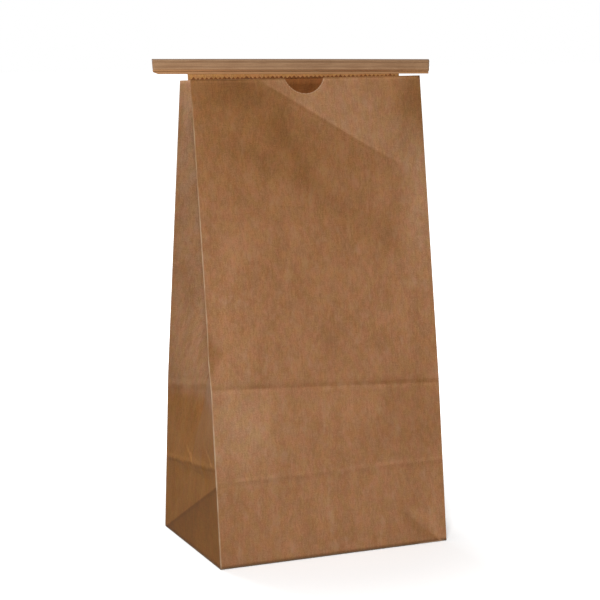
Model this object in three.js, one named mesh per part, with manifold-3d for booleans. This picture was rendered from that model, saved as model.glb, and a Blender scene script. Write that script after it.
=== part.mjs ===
import * as THREE from "three";
import { mergeVertices } from "three/addons/utils/BufferGeometryUtils.js";
import Module from "manifold-3d";

// Bag sizes in millimetres. The front faces -Y and the bag stands on z = 0.
const bagWidth = 127;
const bagDepth = 84.1;
const bagHeight = 244.5; // front panel, measured along the paper
const backDrop = 1.9; // the back panel up to the lip fold is this much shorter
const paper = 0.3; // one wall
const floorPaper = 0.6; // pasted layers of the bottom
const flapPaper = 0.3; // outer bottom flap

// Mouth: how far each top edge stands from the middle of the bag.
const mouthFrontLeft = 4.3;
const mouthFrontRight = 5.5;
const mouthBack = 10.8;

// How far the panels bow out at the packing crease.
const bellyFront = 1.9;
const bellyBack = 3.6;

// Creases in the front panel, as heights along the paper.
const bottomCrease = bagDepth / 2;
const packCreaseLeft = 90;
const packCreaseRight = 84;
const creaseDepth = 0.8;
const creaseReach = 6;

// The bent upper right corner of the front panel.
const ridgeTop = -24; // where the bend meets the top edge
const ridgeFall = 57.5; // how far below the top it meets the right edge
const ridgeRise = 4.7;
const ridgeCurve = 1.25;

// Thumb notch.
const notchWidth = 22.2;
const notchDepth = 7.8;
const notchOffset = -3.8; // from the middle of the front panel

// Back seam and bottom flap.
const seamWidth = 14;
const seamOffset = 0;
const flapEdge = 28; // outer flap ends this far in front of the middle
const flapInset = 1.2;
const flapCorner = 18;

// Lip of the back panel, which carries the tie.
const lipInset = 4.3;
const lipTaper = 0.2; // its side edges slope by this much
const lipStrip = 3.6; // bare paper between the fold and the tie
const lipLeanLeft = 12; // degrees back from upright
const lipLeanRight = 2;
const lipShort = 0.5; // the lip ends this far below the tie's top

// Small teeth left by the cutter along the lip fold.
const toothPitch = 2.4;
const toothWidth = 1.6;
const toothRise = 0.9;
const toothPaper = 0.16;
const toothInset = 0.02; // behind the inner face of the wall

// Tin tie.
const tieLength = 154.4;
const tieWidth = 6.35;
const tieFlange = 1.3; // the back paper shows this far below the front paper
const tieClip = 2.7; // the lower left corner of the back paper is cut off over this length
const tieSkew = 0.8; // degrees, the left end sits higher
const tieShift = -0.4; // off the middle of the bag
const tiePaper = 0.15;
const wireDiameter = 0.6;
const wireOffset = 2.1; // each wire from the tie's middle
const wireClearance = 0.05;
const glue = 0.1; // glue film between lip and tie

const wasm = await Module();
wasm.setup();

const lerp = THREE.MathUtils.lerp;
const half = bagWidth / 2;
const backHeight = bagHeight - backDrop;

function rise(length, run) {
  return Math.sqrt(length * length - run * run);
}

// Joins rings of points into one closed skin. A fan closes both ends, or a strip of cross pieces
// where the ring is long and thin and its second half runs back along its first.
function skin(rings, thin = false) {
  const points = [];
  const lookup = new Map();
  const triangles = [];
  const weld = (p) => {
    const key = [p.x, p.y, p.z].map((v) => Math.round(v * 2e4)).join(",");
    if (!lookup.has(key)) {
      lookup.set(key, points.length / 3);
      points.push(p.x, p.y, p.z);
    }
    return lookup.get(key);
  };
  const face = (a, b, c) => {
    if (a !== b && b !== c && c !== a) {
      triangles.push(a, b, c);
    }
  };
  const fan = (ring, flip) => {
    const middle = new THREE.Vector3();
    ring.forEach((p) => middle.addScaledVector(p, 1 / ring.length));
    const hub = weld(middle);
    ring.forEach((p, i) => {
      const a = weld(p);
      const b = weld(ring[(i + 1) % ring.length]);
      if (flip) {
        face(hub, b, a);
      } else {
        face(hub, a, b);
      }
    });
  };
  const strip = (ring, flip) => {
    const last = ring.length - 1;
    for (let i = 0; i + 1 < ring.length / 2; i++) {
      const [a, b, c, d] = [i, i + 1, last - i - 1, last - i].map((n) => weld(ring[n]));
      if (flip) {
        face(a, c, b);
        face(a, d, c);
      } else {
        face(a, b, c);
        face(a, c, d);
      }
    }
  };
  for (let k = 0; k + 1 < rings.length; k++) {
    const low = rings[k].map(weld);
    const high = rings[k + 1].map(weld);
    for (let i = 0; i < low.length; i++) {
      const j = (i + 1) % low.length;
      const across = rings[k][i].distanceTo(rings[k + 1][j]);
      const other = rings[k][j].distanceTo(rings[k + 1][i]);
      if (across < other) {
        face(low[i], low[j], high[j]);
        face(low[i], high[j], high[i]);
      } else {
        face(low[i], low[j], high[i]);
        face(low[j], high[j], high[i]);
      }
    }
  }
  const close = thin ? strip : fan;
  close(rings[0], true);
  close(rings[rings.length - 1], false);
  const geometry = new THREE.BufferGeometry();
  geometry.setAttribute("position", new THREE.Float32BufferAttribute(points, 3));
  geometry.setIndex(triangles);
  return geometry;
}

function toSolid(geometry) {
  let plain = geometry.clone();
  plain.deleteAttribute("normal");
  plain.deleteAttribute("uv");
  plain = mergeVertices(plain, 1e-5);
  const mesh = new wasm.Mesh({
    numProp: 3,
    vertProperties: new Float32Array(plain.attributes.position.array),
    triVerts: new Uint32Array(plain.index.array),
  });
  return new wasm.Manifold(mesh);
}

function fromSolid(solid) {
  const mesh = solid.getMesh();
  const geometry = new THREE.BufferGeometry();
  geometry.setAttribute("position", new THREE.Float32BufferAttribute(mesh.vertProperties, 3));
  geometry.setIndex(Array.from(mesh.triVerts));
  return geometry;
}

// Moves a ring inward by the given wall, corner by corner.
function inward(ring, wall) {
  const corners = [];
  const slot = ring.map((p) => {
    const last = corners[corners.length - 1];
    if (!last || Math.hypot(p.x - last.x, p.y - last.y) > 1e-4) {
      corners.push(p);
    }
    return corners.length - 1;
  });
  const first = corners[0];
  const end = corners[corners.length - 1];
  const wraps = Math.hypot(first.x - end.x, first.y - end.y) < 1e-4;
  const count = wraps ? corners.length - 1 : corners.length;
  const moved = [];
  for (let i = 0; i < count; i++) {
    const before = corners[(i + count - 1) % count];
    const here = corners[i];
    const after = corners[(i + 1) % count];
    const a = new THREE.Vector2(here.x - before.x, here.y - before.y).normalize();
    const b = new THREE.Vector2(after.x - here.x, after.y - here.y).normalize();
    const na = new THREE.Vector2(-a.y, a.x);
    const nb = new THREE.Vector2(-b.y, b.x);
    const mid = na.clone().add(nb).normalize();
    const reach = wall / Math.max(mid.dot(na), 0.05);
    moved.push(new THREE.Vector2(here.x + mid.x * reach, here.y + mid.y * reach));
  }
  return ring.map((p, i) => {
    const m = moved[slot[i] % count];
    return new THREE.Vector3(m.x, m.y, p.z);
  });
}

// Heights up the panels as shares of the panel length, at the two front edges and at the back.
const packShare = (packCreaseLeft + packCreaseRight) / 2 / bagHeight;
const packTilt = (packCreaseLeft - packCreaseRight) / 2 / bagHeight;
const bottomShare = bottomCrease / bagHeight;
const ridgeShare = 1 - ridgeFall / bagHeight;

function level(share, tilt, dent) {
  return { left: share + tilt, right: share - tilt, back: share, dent };
}

function levels() {
  const reach = creaseReach / bagHeight;
  const list = [level(0, 0, 0), level(bottomShare, 0, creaseDepth * 0.6)];
  list.push(level(packShare - reach, packTilt, 0));
  list.push(level(packShare, packTilt, creaseDepth));
  list.push(level(packShare + reach, packTilt, 0));
  list.push(level(lerp(packShare, ridgeShare, 0.4), 0, 0));
  list.push(level(lerp(packShare, ridgeShare, 0.7), 0, 0));
  for (let i = 0; i <= 7; i++) {
    list.push(level(lerp(ridgeShare, 1, i / 7), 0, 0));
  }
  return list;
}

function bow(share) {
  return share < packShare ? share / packShare : (1 - share) / (1 - packShare);
}

function frontEdge(side, share) {
  const mouth = side < 0 ? mouthFrontLeft : mouthFrontRight;
  const top = rise(bagHeight, bagDepth / 2 - mouth);
  const y = lerp(-bagDepth / 2, -mouth, share) - bellyFront * bow(share);
  return new THREE.Vector3(side * half, y, flapPaper + share * (top - flapPaper));
}

function backEdge(side, share) {
  const top = rise(backHeight, bagDepth / 2 - mouthBack);
  const y = lerp(bagDepth / 2, mouthBack, share) + bellyBack * bow(share);
  return new THREE.Vector3(side * half, y, flapPaper + share * (top - flapPaper));
}

// The fold in the middle of a gusset, pushed in as the two panels close up.
function gussetFold(side, front, back) {
  const gap = front.distanceTo(back);
  const push = Math.sqrt(Math.max(bagDepth * bagDepth - gap * gap, 0)) / 2;
  const fold = front.clone().add(back).multiplyScalar(0.5);
  fold.x -= side * push;
  return fold;
}

const ridgeLeftParts = 8;
const ridgeRightParts = 6;

// Front panel points from left to right at one level.
function frontRow(left, right, share, dent) {
  const up = Math.max(0, (share - ridgeShare) / (1 - ridgeShare));
  const crest = lerp(half, ridgeTop, Math.pow(up, ridgeCurve));
  const row = [];
  const put = (x, lift) => {
    const u = (x + half) / bagWidth;
    const p = left.clone().lerp(right, u);
    const away = 1 - Math.pow(2 * u - 1, 2);
    p.y += dent * away - lift * ridgeRise * up;
    row.push(p);
  };
  for (let i = 0; i <= ridgeLeftParts; i++) {
    put(lerp(-half, crest, i / ridgeLeftParts), i / ridgeLeftParts);
  }
  for (let i = 1; i <= ridgeRightParts; i++) {
    put(lerp(crest, half, i / ridgeRightParts), 1 - i / ridgeRightParts);
  }
  if (up === 0) {
    row.forEach((p, i) => {
      if (i > ridgeLeftParts) {
        p.copy(row[ridgeLeftParts]);
      }
    });
  }
  return row;
}

// Gusset points from front to back, the front corner left out.
function gussetRow(side, front, back, share) {
  const fold = gussetFold(side, front, back);
  const knee = share === 0 ? back : front;
  const inner = share === 0 ? back : fold;
  const row = [knee.clone()];
  row.push(knee.clone().lerp(inner, 0.5), inner.clone());
  row.push(inner.clone().lerp(back, 0.5), back.clone());
  return row;
}

// Back panel columns from right to left, each with its place, its share in the lip and in the seam.
function backColumns() {
  const lipHalf = half - lipInset;
  const list = [{ x: lipHalf + lipTaper, lip: 0, seam: 0 }];
  const seamLeft = seamOffset - seamWidth / 2;
  const seamRight = seamOffset + seamWidth / 2;
  [1, 0.66, 0.33].forEach((t) => list.push({ x: lerp(seamRight, lipHalf, t), lip: 1, seam: 0 }));
  list.push({ x: seamRight, lip: 1, seam: 0 }, { x: seamRight, lip: 1, seam: 1 });
  list.push({ x: seamLeft, lip: 1, seam: 1 }, { x: seamLeft, lip: 1, seam: 0 });
  [0.33, 0.66, 1].forEach((t) => list.push({ x: lerp(seamLeft, -lipHalf, t), lip: 1, seam: 0 }));
  list.push({ x: -lipHalf - lipTaper, lip: 0, seam: 0 });
  return list;
}

const columns = backColumns();

// Where the lip stands at a given x, in its own plane: up the lip and out from its back.
const lipFoot = backEdge(1, 1);

function onLip(x, up, out) {
  const lean = THREE.MathUtils.degToRad(lerp(lipLeanLeft, lipLeanRight, (x + half) / bagWidth));
  const y = lipFoot.y + up * Math.sin(lean) - out * Math.cos(lean);
  const z = lipFoot.z + up * Math.cos(lean) + out * Math.sin(lean);
  return new THREE.Vector3(x, y, z);
}

function ringAt(step) {
  const left = frontEdge(-1, step.left);
  const right = frontEdge(1, step.right);
  const backLeft = backEdge(-1, step.back);
  const backRight = backEdge(1, step.back);
  const share = (step.left + step.right) / 2;
  const ring = frontRow(left, right, share, step.dent);
  ring.push(...gussetRow(1, right, backRight, share));
  const across = columns.map((c) => backRight.clone().lerp(backLeft, (half - c.x) / bagWidth));
  ring.push(...across);
  const leftRow = gussetRow(-1, left, backLeft, share).reverse();
  ring.push(...leftRow);
  return ring;
}

const frontCount = ridgeLeftParts + ridgeRightParts + 1;
const gussetCount = 5;
const backStart = frontCount + gussetCount;

function withSeam(ring) {
  return ring.map((p, i) => {
    const column = columns[i - backStart];
    const out = column && column.seam ? paper : 0;
    return new THREE.Vector3(p.x, p.y + out, p.z);
  });
}

// How much higher the skewed tie sits at a given x.
function skewAt(x) {
  return -x * Math.tan(THREE.MathUtils.degToRad(tieSkew));
}

function liftLip(ring, up, out) {
  return ring.map((p, i) => {
    const column = columns[i - backStart];
    if (!column || !column.lip) {
      return p.clone();
    }
    const seam = out === 0 && column.seam ? paper : 0;
    return onLip(column.x, up + skewAt(column.x), out - seam);
  });
}

function paperBag() {
  const outer = levels().map(ringAt);
  const inner = outer.map((ring) => inward(ring, paper));
  inner[0].forEach((p) => {
    p.z = flapPaper + floorPaper;
  });
  const rings = outer.map(withSeam);
  const rim = rings[rings.length - 1];
  const rimInside = inner[inner.length - 1];
  const lipTop = lipStrip + tieWidth - lipShort;
  rings.push(liftLip(rim, lipStrip, 0), liftLip(rim, lipTop, 0));
  rings.push(liftLip(rimInside, lipTop, paper), liftLip(rimInside, lipStrip, paper));
  rings.push(...inner.reverse());
  return skin(rings);
}

// Teeth stand in the plane of the back panel while the lip leans away behind them.
function lipTeeth() {
  const below = backEdge(1, 0.98);
  const along = lipFoot.clone().sub(below).normalize();
  const span = 2 * (half - lipInset) - toothWidth;
  const count = Math.floor(span / toothPitch);
  const start = (-count * toothPitch) / 2;
  const foot = lipFoot.clone();
  foot.y -= paper - toothInset;
  let all = null;
  for (let i = 0; i <= count; i++) {
    const x = start + i * toothPitch;
    const corner = (dx, up, deep) => {
      const p = foot.clone().addScaledVector(along, up);
      return new THREE.Vector3(x + dx, p.y + deep, p.z);
    };
    const outline = [
      [-toothWidth / 2, -toothRise / 2],
      [toothWidth / 2, -toothRise / 2],
      [toothWidth / 2, 0],
      [0, toothRise],
      [-toothWidth / 2, 0],
    ];
    const back = outline.map(([dx, up]) => corner(dx, up, toothPaper));
    const front = outline.map(([dx, up]) => corner(dx, up, 0));
    const tooth = toSolid(skin([back, front]));
    all = all ? all.add(tooth) : tooth;
  }
  return all;
}

function bottomFlap() {
  const x = half - flapInset;
  const back = bagDepth / 2 - flapInset;
  const outline = new THREE.Shape();
  outline.moveTo(-x, back);
  outline.lineTo(-x, flapCorner - flapEdge);
  outline.lineTo(-x + flapCorner, -flapEdge);
  outline.lineTo(x - flapCorner, -flapEdge);
  outline.lineTo(x, flapCorner - flapEdge);
  outline.lineTo(x, back);
  const depth = flapPaper + floorPaper / 3;
  return toSolid(new THREE.ExtrudeGeometry(outline, { depth, bevelEnabled: false }));
}

function thumbNotch() {
  const radius = (notchWidth * notchWidth / 4 + notchDepth * notchDepth) / (2 * notchDepth);
  const length = bagDepth / 2;
  const cutter = new THREE.CylinderGeometry(radius, radius, length, 48);
  const top = frontEdge(-1, 1).z / 2 + frontEdge(1, 1).z / 2;
  cutter.translate(notchOffset, -length / 2, top - notchDepth + radius);
  return toSolid(cutter);
}

// Cross-section of a tie piece carried along the lip, as a function of the length from the left end.
function alongTie(sectionAt, stops = []) {
  const parts = 16;
  const places = [...stops];
  for (let i = 0; i <= parts; i++) {
    places.push((tieLength * i) / parts);
  }
  places.sort((a, b) => a - b);
  const rings = places.map((length) => {
    const x = tieShift - tieLength / 2 + length;
    const middle = tieMiddle + skewAt(x);
    return sectionAt(length).map(([up, out]) => onLip(x, middle + up, tieBase + out));
  });
  return skin(rings, true);
}

const tieMiddle = lipStrip + tieWidth / 2;
const tieBase = paper + glue;
const wireHeight = tiePaper + wireClearance + wireDiameter / 2;

function tieBack() {
  const top = tieWidth / 2;
  const sectionAt = (length) => {
    const foot = -top - tieFlange * lerp(0.2, 1, Math.min(length / tieClip, 1));
    return [[foot, 0], [top, 0], [top, tiePaper], [foot, tiePaper]];
  };
  return alongTie(sectionAt, [tieClip]);
}

function tieWire(place) {
  const sides = 12;
  const section = [];
  for (let i = 0; i < sides; i++) {
    const a = (2 * Math.PI * i) / sides;
    const r = wireDiameter / 2;
    section.push([place + r * Math.cos(a), wireHeight + r * Math.sin(a)]);
  }
  return alongTie(() => section);
}

// The front paper lies flat between the wires and rides up over each of them.
function tieFront() {
  const w = tieWidth / 2;
  const flat = tiePaper + wireClearance;
  const crown = wireHeight + wireDiameter / 2 + wireClearance;
  const r = wireDiameter / 2 + wireClearance;
  const under = [[-w, flat]];
  [-wireOffset, wireOffset].forEach((c) => {
    under.push([c - 1.9 * r, flat], [c - r, wireHeight], [c - 0.6 * r, crown]);
    under.push([c + 0.6 * r, crown], [c + r, wireHeight], [c + 1.9 * r, flat]);
  });
  under.push([w, flat]);
  const over = under.map(([up, out]) => {
    const near = up < 0 ? -wireOffset : wireOffset;
    const spread = Math.abs(up - near) < 2 * r ? Math.sign(up - near) * tiePaper * 0.6 : 0;
    return [up + spread, out + tiePaper];
  });
  const section = [...under, ...over.reverse()];
  return alongTie(() => section);
}

const kraft = new THREE.MeshStandardMaterial({ color: 0xa5754a, roughness: 0.92, metalness: 0 });
const tieKraft = new THREE.MeshStandardMaterial({ color: 0xa98362, roughness: 0.85, metalness: 0 });
const tieBacking = new THREE.MeshStandardMaterial({ color: 0xa47955, roughness: 0.88, metalness: 0 });
const steel = new THREE.MeshStandardMaterial({ color: 0xa9adb0, roughness: 0.35, metalness: 1 });

function named(name, geometry, material) {
  const mesh = new THREE.Mesh(geometry, material);
  mesh.name = name;
  return mesh;
}

const sheet = toSolid(paperBag()).add(lipTeeth()).add(bottomFlap()).subtract(thumbNotch());

const bag = new THREE.Group();
bag.name = "tin_tie_bag";
bag.add(named("paper_bag", fromSolid(sheet), kraft));
bag.add(named("tie_back_paper", tieBack(), tieBacking));
bag.add(named("tie_upper_wire", tieWire(wireOffset), steel));
bag.add(named("tie_lower_wire", tieWire(-wireOffset), steel));
bag.add(named("tie_front_paper", tieFront(), tieKraft));

export default bag;
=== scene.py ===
import bpy
import bmesh
import math
from mathutils import Matrix, Vector, noise


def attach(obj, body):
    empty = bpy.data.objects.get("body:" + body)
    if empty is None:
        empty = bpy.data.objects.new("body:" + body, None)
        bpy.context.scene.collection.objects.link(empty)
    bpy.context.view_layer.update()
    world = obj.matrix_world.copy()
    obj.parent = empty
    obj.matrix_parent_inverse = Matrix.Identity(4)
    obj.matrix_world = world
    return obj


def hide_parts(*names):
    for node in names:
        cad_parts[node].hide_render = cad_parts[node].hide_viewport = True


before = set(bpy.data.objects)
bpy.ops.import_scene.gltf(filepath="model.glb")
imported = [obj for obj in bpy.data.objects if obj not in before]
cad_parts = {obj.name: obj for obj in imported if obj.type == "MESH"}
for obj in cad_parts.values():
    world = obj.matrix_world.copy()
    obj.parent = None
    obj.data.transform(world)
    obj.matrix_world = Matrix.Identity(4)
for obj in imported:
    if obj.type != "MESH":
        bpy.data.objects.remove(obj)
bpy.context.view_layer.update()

mm = 0.001
scene = bpy.context.scene
scene.view_settings.view_transform = "Standard"
print("frame loaded:", ", ".join(sorted(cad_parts)))


# shader nodes written as sums
class Wire:
    def __init__(self, tree, socket=None):
        self.tree = tree
        self.socket = socket

    def node(self, kind, inputs=None, out=0, **settings):
        made = self.tree.nodes.new(kind)
        for key, value in settings.items():
            setattr(made, key, value)
        for key, value in (inputs or {}).items():
            if isinstance(value, Wire):
                self.tree.links.new(value.socket, made.inputs[key])
            else:
                made.inputs[key].default_value = value
        return Wire(self.tree, made.outputs[out])

    def math(self, operation, a, b=0.0):
        return self.node("ShaderNodeMath", {0: a, 1: b}, operation=operation)

    def __add__(self, other):
        return self.math("ADD", self, other)

    def __radd__(self, other):
        return self.math("ADD", other, self)

    def __sub__(self, other):
        return self.math("SUBTRACT", self, other)

    def __rsub__(self, other):
        return self.math("SUBTRACT", other, self)

    def __mul__(self, other):
        return self.math("MULTIPLY", self, other)

    def __rmul__(self, other):
        return self.math("MULTIPLY", other, self)

    def __truediv__(self, other):
        return self.math("DIVIDE", self, other)

    def __pow__(self, other):
        return self.math("POWER", self, other)

    def size(self):
        return self.math("ABSOLUTE", self)

    def least(self, other):
        return self.math("MINIMUM", self, other)

    def most(self, other):
        return self.math("MAXIMUM", self, other)

    def span(self, low, high, toLow=0.0, toHigh=1.0):
        inputs = {"Value": self, "From Min": low, "From Max": high, "To Min": toLow, "To Max": toHigh}
        return self.node("ShaderNodeMapRange", inputs, interpolation_type="SMOOTHSTEP")

    def mix(self, factor, a, b, blend="MIX"):
        inputs = {0: factor, 6: a, 7: b}
        return self.node("ShaderNodeMix", inputs, out=2, data_type="RGBA", blend_type=blend)

    def cloud(self, vector, stretch, turn, scale, detail, rough, distort=0.0):
        inputs = {"Vector": vector, "Scale": stretch, "Rotation": (0.0, 0.0, turn)}
        inputs = {"Vector": self.node("ShaderNodeMapping", inputs), "Scale": scale, "Detail": detail}
        inputs.update({"Roughness": rough, "Distortion": distort})
        return self.node("ShaderNodeTexNoise", inputs)

    def sheetPlace(self):
        uv = self.node("ShaderNodeUVMap", uv_map="paper")
        along = self.node("ShaderNodeSeparateXYZ", {0: uv})
        return uv, along, Wire(self.tree, along.socket.node.outputs[1])

    def painted(self, name):
        return self.node("ShaderNodeAttribute", attribute_name=name, out=2)

    def lightPath(self):
        path = self.tree.nodes.new("ShaderNodeLightPath")
        camera = Wire(self.tree, path.outputs["Is Camera Ray"])
        glossy = Wire(self.tree, path.outputs["Is Glossy Ray"])
        through = Wire(self.tree, path.outputs["Is Transmission Ray"])
        return camera.most(glossy).most(through)


def newMaterial(name):
    material = bpy.data.materials.new(name)
    material.use_nodes = True
    tree = material.node_tree
    return material, Wire(tree), tree.nodes["Principled BSDF"]


def plug(wire, shader, name):
    wire.tree.links.new(wire.socket, shader.inputs[name])


# bag sizes in millimetres, heights along the paper, and how finely the panels are cut
bag = {
    "width": 127.0, "depth": 84.1, "height": 244.5, "backDrop": 1.9,
    "mouthFrontLeft": 4.3, "mouthFrontRight": 5.5, "mouthBack": 10.8,
    "bellyFront": 1.9, "bellyBack": 3.6, "foot": 0.3, "sheet": 0.24,
    "notchWidth": 22.2, "notchDepth": 7.8, "notchOffset": -3.8, "notchCuts": 20,
    "columns": 60, "gussetColumns": 40, "rows": 116, "floorShift": 0.6,
}
# how near points are joined, in millimetres
weld = {"panels": 0.01, "score": 0.02, "floor": 0.02, "cuts": 0.03}
# creases across the front: heights, depths and how far each reaches down and up
creases = {
    "packLeft": 90.0, "packRight": 84.0, "packDepth": 0.65, "packBelow": 16.0, "packAbove": 3.5,
    "footLine": 43.1, "footRise": 0.15, "footBelow": 3.5, "footAbove": 9.0,
    "even": 0.75, "uneven": 0.6, "unevenReach": 24.0, "seed": 2.0, "hold": 0.3,
}
# the bent upper right corner: its line from the top edge to the right fold, and how far it stands out
bend = {
    "top": -31.0, "fall": 52.0, "sag": -1.8, "rise": 4.7, "swell": 5.0, "start": 26.0, "cuts": 8,
    "above": 36.0, "shelf": 26.0, "shelfDrop": 0.5, "below": 42.0,
}
# how far the gussets are pressed in: at the foot, below the packing crease, and fully above it
gusset = {"foot": 0.04, "open": 0.36, "openReach": 45.0, "pressStart": 84.0, "pressReach": 44.0}

half = bag["width"] / 2
backHeight = bag["height"] - bag["backDrop"]
packMiddle = (creases["packLeft"] + creases["packRight"]) / 2
packShare = packMiddle / bag["height"]
bottomCrease = bag["depth"] / 2
diagonalSlope = bottomCrease / bag["depth"]
diagonalScale = 1 / math.hypot(1, diagonalSlope)
bendRun = half - bend["top"]
bendLength = math.hypot(bendRun, bend["fall"])
notchRadius = (bag["notchWidth"] ** 2 / 4 + bag["notchDepth"] ** 2) / (2 * bag["notchDepth"])
notchHeight = bag["height"] - bag["notchDepth"] + notchRadius

# where each panel starts along the flat sheet, from the back seam round to it again
leftGussetStart = half
frontStart = leftGussetStart + bag["depth"]
rightGussetStart = frontStart + bag["width"]
backRightStart = rightGussetStart + bag["depth"]
sheetEnd = backRightStart + half
foldSlack = 0.05  # rounding allowed for at the front's folds


def lerp(a, b, t):
    return a + (b - a) * t


def clip(t):
    return min(max(t, 0.0), 1.0)


def ease(t):
    t = clip(t)
    return t * t * (3 - 2 * t)


def tent(distance, below, above):
    if distance < 0:
        return max(0.0, 1 + distance / below)
    return max(0.0, 1 - distance / above)


# soft round spot: its middle, its reach across and up, and its amount
def spot(x, h, row):
    cx, ch, rx, rh, amount = row
    return amount * math.exp(-((x - cx) / rx) ** 2 - ((h - ch) / rh) ** 2)


def wave(x, h, reach, seed):
    return noise.noise(Vector((x / reach, h / reach, seed)))


def bow(share):
    return share / packShare if share < packShare else (1 - share) / (1 - packShare)


def frontEdge(side, share):
    mouth = bag["mouthFrontLeft"] if side < 0 else bag["mouthFrontRight"]
    run = bag["depth"] / 2 - mouth
    top = math.sqrt(bag["height"] ** 2 - run ** 2)
    y = lerp(-bag["depth"] / 2, -mouth, share) - bag["bellyFront"] * bow(share)
    return Vector((side * half, y, lerp(bag["foot"], top, share)))


def backEdge(side, share):
    run = bag["depth"] / 2 - bag["mouthBack"]
    top = math.sqrt(backHeight ** 2 - run ** 2)
    y = lerp(bag["depth"] / 2, bag["mouthBack"], share) + bag["bellyBack"] * bow(share)
    return Vector((side * half, y, lerp(bag["foot"], top, share)))


# the gusset is pressed in above the packing crease and stands more open below it
def gussetFold(side, front, back):
    gap = (front - back).length
    push = math.sqrt(max(bag["depth"] ** 2 - gap ** 2, 0)) / 2
    stand = lerp(gusset["foot"], gusset["open"], ease((front.z - bottomCrease) / gusset["openReach"]))
    push *= lerp(stand, 1.0, ease((front.z - gusset["pressStart"]) / gusset["pressReach"]))
    fold = (front + back) / 2
    fold.x -= side * push
    return fold


# dents and swells of the front panel: middle x, middle height, reach across, reach up, push out
frontSwells = [
    (48.0, 70.0, 20.0, 14.0, -0.9),
    (-38.0, 60.0, 26.0, 20.0, 0.9),
    (20.0, 62.0, 22.0, 14.0, 0.6),
    (10.0, 132.0, 40.0, 30.0, 0.8),
    (-40.0, 196.0, 24.0, 26.0, -1.0),
    (-50.0, 140.0, 14.0, 30.0, 0.6),
    (54.0, 176.0, 9.0, 22.0, -0.9),
]
# soft waves of the front paper: reach, seed, height
frontWaves = [(30.0, 3.1, 0.4), (9.0, 5.2, 0.12)]
frontWaveStart = 20.0
# pinch in the left fold
pinch = {"h": 104.0, "up": 15.0, "across": 11.0, "depth": 1.2}
# diagonal crease at the lower right corner
facet = {
    "x": 41.5, "h": 17.0, "fall": 0.92, "depth": 3.6, "below": 12.0, "above": 16.0,
    "start": 30.0, "startReach": 14.0, "tail": 4.0,
}


# how the bend line leaves the straight one, by its share along it, at most 1
def bendShape(share):
    return 6.75 * share * share * (1 - share)


# how far a front point lies above the bend line, and its share along that line
def acrossBend(x, h):
    dx = x - bend["top"]
    dh = h - bag["height"]
    share = (dx * bendRun - dh * bend["fall"]) / bendLength ** 2
    away = (dx * bend["fall"] + dh * bendRun) / bendLength
    return away - bend["sag"] * bendShape(clip(share)), share


def acrossFacet(x, h):
    return facet["fall"] * (x - facet["x"]) + h - facet["h"]


def bendLift(away):
    if away > 0:
        return max(0.0, 1 - away / bend["above"])
    if away > -bend["shelf"]:
        return 1 + bend["shelfDrop"] * away / bend["shelf"]
    return bend["shelfDrop"] * ease((away + bend["below"]) / (bend["below"] - bend["shelf"]))


def frontPush(x, h):
    u = (x + half) / bag["width"]
    inside = 1 - (2 * u - 1) ** 2
    away, along = acrossBend(x, h)
    along = clip(along)
    rise = bend["rise"] + bend["swell"] * math.sin(math.pi * along)
    push = rise * (1 - along) * ease((x + half) / bend["start"]) * bendLift(away)
    pack = h - lerp(creases["packLeft"], creases["packRight"], u)
    line = creases["footRise"] * tent(h - creases["footLine"], creases["footBelow"], creases["footAbove"])
    line -= creases["packDepth"] * tent(pack, creases["packBelow"], creases["packAbove"])
    broken = creases["even"] + creases["uneven"] * wave(x, 0.0, creases["unevenReach"], creases["seed"])
    push += line * broken * inside ** creases["hold"]
    corner = facet["depth"] * tent(acrossFacet(x, h), facet["below"], facet["above"])
    push -= corner * ease((x - facet["start"]) / facet["startReach"]) * (1 - u)
    push -= pinch["depth"] * max(0.0, 1 - abs(h - pinch["h"]) / pinch["up"] - (x + half) / pinch["across"])
    for row in frontSwells:
        push += spot(x, h, row) * inside ** 0.5
    for reach, seed, height in frontWaves:
        push += height * wave(x, h, reach, seed) * inside * ease(h / frontWaveStart)
    return push


# painted light and shade of the front's dents and swells, with some uneven paper tone: middle x, middle
# height, reach across, reach up, change
frontLightAndShade = [
    (-45.0, 241.0, 32.0, 15.0, -0.31),
    (-32.0, 212.0, 40.0, 32.0, -0.19),
    (67.0, 231.0, 19.0, 24.0, -0.37),
    (18.0, 200.0, 20.0, 14.0, -0.08),
    (-10.0, 177.0, 42.0, 10.0, -0.06),
    (30.0, 166.0, 22.0, 11.0, -0.08),
    (0.0, 148.0, 72.0, 18.0, -0.055),
    (42.0, 226.0, 16.0, 14.0, -0.06),
    (59.0, 172.0, 9.0, 30.0, 0.13),
    (64.0, 90.0, 5.0, 90.0, 0.05),
    (-52.0, 132.0, 12.0, 34.0, 0.13),
    (-50.0, 70.0, 19.0, 23.0, 0.24),
    (12.0, 76.0, 22.0, 10.0, 0.09),
    (46.0, 70.0, 15.0, 22.0, -0.07),
    (16.0, 12.0, 70.0, 24.0, 0.08),
    (48.0, 8.0, 12.0, 10.0, -0.05),
    (46.0, 45.0, 36.0, 40.0, -0.02),
    (44.0, 128.0, 22.0, 26.0, 0.05),
    (60.0, 28.0, 7.0, 16.0, 0.1),
    (-10.0, 44.0, 64.0, 36.0, 0.09),
]
# painted light above the bend line and painted shade just below it, with painted sheen above the line
bendLightAndShade = {
    "reach": 2.0, "fade": 20.0, "low": -0.1, "high": 1.05, "pale": 0.07, "paleEnd": 34.0,
    "shade": 0.05, "shadeAt": -4.0, "shadeBelow": 14.0, "shadeAbove": 3.0, "sheen": 0.3, "sheenEnd": 40.0,
}
# painted light above the corner's crease and painted shade below it
facetLightAndShade = {
    "left": 30.0, "high": 26.0, "fade": 8.0,
    "pale": 0.17, "paleEdge": 1.5, "paleTop": 22.0, "paleReach": 14.0,
    "shade": 0.18, "shadeAt": -0.5, "shadeBelow": 9.0, "shadeAbove": 0.5,
    "shadeLeft": 34.0, "shadeFade": 10.0,
}
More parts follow.
